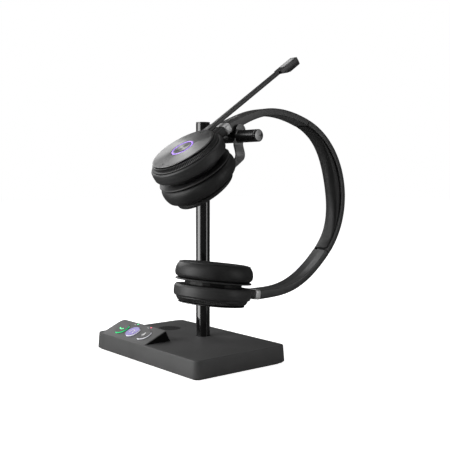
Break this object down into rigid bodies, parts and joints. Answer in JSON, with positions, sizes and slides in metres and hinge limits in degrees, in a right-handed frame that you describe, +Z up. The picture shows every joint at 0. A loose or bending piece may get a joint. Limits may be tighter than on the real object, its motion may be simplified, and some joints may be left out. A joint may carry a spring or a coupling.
{
  "type": "office headset with charging stand",
  "caption": "Wireless headset with two cushioned ear cups, adjustable headband and turning microphone boom, hanging on a weighted charging stand with three keys.",
  "frame": {"origin": "centre of the stand's underside, on the surface it rests on", "axes": "+Z up, +X along the stand's long front edge towards the arm's free end, +Y to the back, where the headband's crown is"},
  "size_m": [0.1456, 0.1999, 0.2552],
  "materials": {
    "charcoal_plastic": "satin moulded, fine grain",
    "black_plastic": "satin moulded",
    "gloss_black": "polished dark plating",
    "leatherette": "soft protein leatherette",
    "rubber": "matte",
    "silver_trim": "satin silver",
    "spun_metal": "spun, dark anodised",
    "steel": "plain",
    "circuit_board": "solder mask",
    "acoustic_cloth": "fine woven cover",
    "green_light": "translucent, lit",
    "white_light": "translucent, lit",
    "red_light": "translucent, lit",
    "violet_light": "translucent, lit",
    "violet_key": "satin, lit from behind"
  },
  "bodies": {
    "stand": {"base_shell": "charcoal_plastic", "base_bottom_plate": "black_plastic", "antislip_pad": "rubber", "ballast_plate": "steel", "base_circuit_board": "circuit_board", "ringer_speaker": "black_plastic", "speaker_grille": "black_plastic", "call_key_light": "green_light", "headset_key_light": "white_light", "mute_key_light": "white_light", "call_led_pipe": "green_light", "mute_led_pipe": "red_light", "usb_socket": "steel", "post_tube": "gloss_black", "post_top_cap": "gloss_black", "post_foot_insert": "steel", "post_bolt": "steel", "hook_bracket": "gloss_black", "arm_tube": "gloss_black", "arm_stud": "steel", "arm_end_cap": "spun_metal", "charging_saddle": "black_plastic"},
    "call_key": {"call_key": "charcoal_plastic"},
    "headset_key": {"headset_key": "violet_key"},
    "mute_key": {"mute_key": "charcoal_plastic"},
    "left_arm": {"left_slider_arm": "charcoal_plastic", "left_trim_ring": "silver_trim", "left_swivel_pin": "steel"},
    "left_cup": {"left_ear_housing": "charcoal_plastic", "left_cushion_mount": "black_plastic", "left_lip_plate": "charcoal_plastic", "left_speaker_driver": "black_plastic", "left_speaker_cover": "acoustic_cloth", "left_ear_cushion": "leatherette", "keypad_carrier": "black_plastic", "headset_circuit_board": "circuit_board"},
    "volume_rocker": {"volume_rocker_disc": "spun_metal", "button_light_ring": "violet_light"},
    "answer_button": {"answer_button": "spun_metal"},
    "boom": {"boom_ring": "black_plastic", "boom_arm": "black_plastic", "mic_head": "black_plastic", "mic_grille": "silver_trim", "mic_capsule": "steel"},
    "headband": {"crown_shell": "charcoal_plastic", "crown_spring_band": "steel", "crown_inner_plate": "black_plastic", "crown_pad": "leatherette"},
    "right_arm": {"right_slider_arm": "charcoal_plastic", "right_trim_ring": "silver_trim", "right_swivel_pin": "steel"},
    "right_cup": {"right_ear_housing": "charcoal_plastic", "right_cushion_mount": "black_plastic", "right_lip_plate": "charcoal_plastic", "right_speaker_driver": "black_plastic", "right_speaker_cover": "acoustic_cloth", "right_ear_cushion": "leatherette", "right_knurled_ring": "black_plastic", "right_outer_disc": "spun_metal", "battery": "steel"}
  },
  "joints": [
    {"name": "call_key_press", "type": "slide", "parent": "stand", "child": "call_key", "axis": [0, 0.3965, -0.918], "range_m": [0, 0.0007], "stiffness_N_per_m": 1700},
    {"name": "headset_key_press", "type": "slide", "parent": "stand", "child": "headset_key", "axis": [0, 0.3965, -0.918], "range_m": [0, 0.0007], "stiffness_N_per_m": 1700},
    {"name": "mute_key_press", "type": "slide", "parent": "stand", "child": "mute_key", "axis": [0, 0.3965, -0.918], "range_m": [0, 0.0007], "stiffness_N_per_m": 1700},
    {"name": "headset_lift", "type": "slide", "parent": "stand", "child": "left_arm", "axis": [0, -0.2079, 0.9781], "range_m": [0, 0.06]},
    {"name": "left_cup_swivel", "type": "hinge", "parent": "left_arm", "child": "left_cup", "pos_m": [0.039, -0.02828, 0.16517], "axis": [0, -0.8212, -0.5707], "range_deg": [-8, 24]},
    {"name": "volume_rocker_tilt", "type": "hinge", "parent": "left_cup", "child": "volume_rocker", "pos_m": [0.039, -0.03301, 0.17199], "axis": [1, 0, 0], "range_deg": [-1.2, 1.2], "stiffness_Nm_per_rad": 1},
    {"name": "answer_button_press", "type": "slide", "parent": "volume_rocker", "child": "answer_button", "axis": [0, 0.5707, -0.8212], "range_m": [0, 0.0006], "stiffness_N_per_m": 1500},
    {"name": "boom_rotation", "type": "hinge", "parent": "left_cup", "child": "boom", "pos_m": [0.039, -0.03387, 0.17322], "axis": [0, -0.5707, 0.8212], "range_deg": [-140, 140]},
    {"name": "left_arm_extension", "type": "hinge", "parent": "left_arm", "child": "headband", "pos_m": [0.039, 0.07211, 0.13298], "axis": [-1, 0, 0], "range_deg": [0, 9]},
    {"name": "right_arm_extension", "type": "hinge", "parent": "headband", "child": "right_arm", "pos_m": [0.039, 0.07211, 0.13298], "axis": [-1, 0, 0], "range_deg": [0, 9]},
    {"name": "right_cup_swivel", "type": "hinge", "parent": "right_arm", "child": "right_cup", "pos_m": [0.039, -0.00425, 0.05853], "axis": [0, 0.9921, -0.1253], "range_deg": [-8, 24]}
  ]
}
